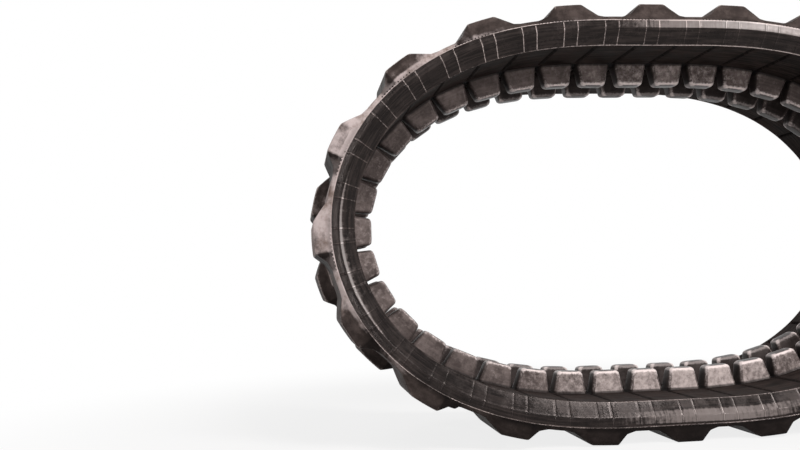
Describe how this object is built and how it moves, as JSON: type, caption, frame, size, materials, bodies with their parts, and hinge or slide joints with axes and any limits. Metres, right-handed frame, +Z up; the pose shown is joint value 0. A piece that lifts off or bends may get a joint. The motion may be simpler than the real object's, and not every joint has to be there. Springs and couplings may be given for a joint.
{
  "type": "rubber track",
  "caption": "Closed rubber crawler track with offset tread lugs outside, rows of guide lugs inside, drive holes, embedded steel cores and wound steel cords.",
  "frame": {"origin": "centre of the footprint at the tread's lowest faces, with the loop standing on its tread", "axes": "+X along the runs, with the turn that the picture shows at -X; +Y across the track, from the near edge of the picture to the far one; +Z up"},
  "size_m": [0.8776, 0.3, 0.5416],
  "materials": {
    "track_rubber": "moulded, slightly glossy",
    "core_steel": "forged, dull",
    "cord_steel": "drawn wire"
  },
  "bodies": {
    "bottom_run": {"rubber_bottom_run": "track_rubber", "steel_core_37": "core_steel", "steel_core_38": "core_steel", "steel_core_39": "core_steel", "steel_core_00": "core_steel", "steel_core_01": "core_steel", "steel_core_02": "core_steel", "steel_core_03": "core_steel", "cord_winding_near": "cord_steel", "cord_winding_far": "cord_steel"},
    "lower_right_1": {"rubber_lower_right_1": "track_rubber", "steel_core_04": "core_steel", "steel_core_05": "core_steel"},
    "lower_right_2": {"rubber_lower_right_2": "track_rubber", "steel_core_06": "core_steel", "steel_core_07": "core_steel"},
    "lower_right_3": {"rubber_lower_right_3": "track_rubber", "steel_core_08": "core_steel", "steel_core_09": "core_steel"},
    "right_turn": {"rubber_right_turn": "track_rubber", "steel_core_10": "core_steel"},
    "upper_right_3": {"rubber_upper_right_3": "track_rubber", "steel_core_11": "core_steel", "steel_core_12": "core_steel"},
    "upper_right_2": {"rubber_upper_right_2": "track_rubber", "steel_core_13": "core_steel", "steel_core_14": "core_steel"},
    "upper_right_1": {"rubber_upper_right_1": "track_rubber", "steel_core_15": "core_steel", "steel_core_16": "core_steel"},
    "lower_left_1": {"rubber_lower_left_1": "track_rubber", "steel_core_35": "core_steel", "steel_core_36": "core_steel"},
    "lower_left_2": {"rubber_lower_left_2": "track_rubber", "steel_core_33": "core_steel", "steel_core_34": "core_steel"},
    "lower_left_3": {"rubber_lower_left_3": "track_rubber", "steel_core_31": "core_steel", "steel_core_32": "core_steel"},
    "left_turn": {"rubber_left_turn": "track_rubber", "steel_core_30": "core_steel"},
    "upper_left_3": {"rubber_upper_left_3": "track_rubber", "steel_core_28": "core_steel", "steel_core_29": "core_steel"},
    "upper_left_2": {"rubber_upper_left_2": "track_rubber", "steel_core_26": "core_steel", "steel_core_27": "core_steel"},
    "upper_left_1": {"rubber_upper_left_1": "track_rubber", "steel_core_24": "core_steel", "steel_core_25": "core_steel"},
    "top_run": {"rubber_top_run": "track_rubber", "steel_core_17": "core_steel", "steel_core_18": "core_steel", "steel_core_19": "core_steel", "steel_core_20": "core_steel", "steel_core_21": "core_steel", "steel_core_22": "core_steel", "steel_core_23": "core_steel"}
  },
  "joints": [
    {"name": "lower_right_1_flex", "type": "hinge", "parent": "bottom_run", "child": "lower_right_1", "pos_m": [0.18313, 0, 0.04636], "axis": [0, -1, 0], "range_deg": [-1.85, 2.15]},
    {"name": "lower_right_2_flex", "type": "hinge", "parent": "lower_right_1", "child": "lower_right_2", "pos_m": [0.28174, 0, 0.08154], "axis": [0, -1, 0], "range_deg": [-2.75, 3.2]},
    {"name": "lower_right_3_flex", "type": "hinge", "parent": "lower_right_2", "child": "lower_right_3", "pos_m": [0.36152, 0, 0.14894], "axis": [0, -1, 0], "range_deg": [-1.55, 1.8]},
    {"name": "right_turn_flex", "type": "hinge", "parent": "lower_right_3", "child": "right_turn", "pos_m": [0.40276, 0, 0.24457], "axis": [0, -1, 0], "range_deg": [-7, 6]},
    {"name": "upper_right_3_flex", "type": "hinge", "parent": "right_turn", "child": "upper_right_3", "pos_m": [0.40276, 0, 0.29707], "axis": [0, -1, 0], "range_deg": [-7, 6]},
    {"name": "upper_right_2_flex", "type": "hinge", "parent": "upper_right_3", "child": "upper_right_2", "pos_m": [0.36152, 0, 0.3927], "axis": [0, -1, 0], "range_deg": [-1.55, 1.8]},
    {"name": "upper_right_1_flex", "type": "hinge", "parent": "upper_right_2", "child": "upper_right_1", "pos_m": [0.28174, 0, 0.4601], "axis": [0, -1, 0], "range_deg": [-2.75, 3.2]},
    {"name": "lower_left_1_flex", "type": "hinge", "parent": "bottom_run", "child": "lower_left_1", "pos_m": [-0.18313, 0, 0.04636], "axis": [0, 1, 0], "range_deg": [-1.85, 2.15]},
    {"name": "lower_left_2_flex", "type": "hinge", "parent": "lower_left_1", "child": "lower_left_2", "pos_m": [-0.28174, 0, 0.08154], "axis": [0, 1, 0], "range_deg": [-2.75, 3.2]},
    {"name": "lower_left_3_flex", "type": "hinge", "parent": "lower_left_2", "child": "lower_left_3", "pos_m": [-0.36152, 0, 0.14894], "axis": [0, 1, 0], "range_deg": [-1.55, 1.8]},
    {"name": "left_turn_flex", "type": "hinge", "parent": "lower_left_3", "child": "left_turn", "pos_m": [-0.40276, 0, 0.24457], "axis": [0, 1, 0], "range_deg": [-7, 6], "stiffness_Nm_per_rad": 1500, "deforming": ["cord_winding_near", "cord_winding_far"]},
    {"name": "upper_left_3_flex", "type": "hinge", "parent": "left_turn", "child": "upper_left_3", "pos_m": [-0.40276, 0, 0.29707], "axis": [0, 1, 0], "range_deg": [-7, 6]},
    {"name": "upper_left_2_flex", "type": "hinge", "parent": "upper_left_3", "child": "upper_left_2", "pos_m": [-0.36152, 0, 0.3927], "axis": [0, 1, 0], "range_deg": [-1.55, 1.8]},
    {"name": "upper_left_1_flex", "type": "hinge", "parent": "upper_left_2", "child": "upper_left_1", "pos_m": [-0.28174, 0, 0.4601], "axis": [0, 1, 0], "range_deg": [-2.75, 3.2]},
    {"name": "top_run_flex", "type": "hinge", "parent": "upper_left_1", "child": "top_run", "pos_m": [-0.18313, 0, 0.49529], "axis": [0, 1, 0], "range_deg": [-1.85, 2.15]}
  ],
  "couplings": [
    {"joint": "lower_right_1_flex", "follows": "left_turn_flex", "ratio": -0.3},
    {"joint": "lower_right_2_flex", "follows": "left_turn_flex", "ratio": -0.45},
    {"joint": "lower_right_3_flex", "follows": "left_turn_flex", "ratio": -0.25},
    {"joint": "right_turn_flex", "follows": "left_turn_flex", "ratio": 1},
    {"joint": "upper_right_3_flex", "follows": "left_turn_flex", "ratio": 1},
    {"joint": "upper_right_2_flex", "follows": "left_turn_flex", "ratio": -0.25},
    {"joint": "upper_right_1_flex", "follows": "left_turn_flex", "ratio": -0.45},
    {"joint": "lower_left_1_flex", "follows": "left_turn_flex", "ratio": -0.3},
    {"joint": "lower_left_2_flex", "follows": "left_turn_flex", "ratio": -0.45},
    {"joint": "lower_left_3_flex", "follows": "left_turn_flex", "ratio": -0.25},
    {"joint": "upper_left_3_flex", "follows": "left_turn_flex", "ratio": 1},
    {"joint": "upper_left_2_flex", "follows": "left_turn_flex", "ratio": -0.25},
    {"joint": "upper_left_1_flex", "follows": "left_turn_flex", "ratio": -0.45},
    {"joint": "top_run_flex", "follows": "left_turn_flex", "ratio": -0.3}
  ]
}
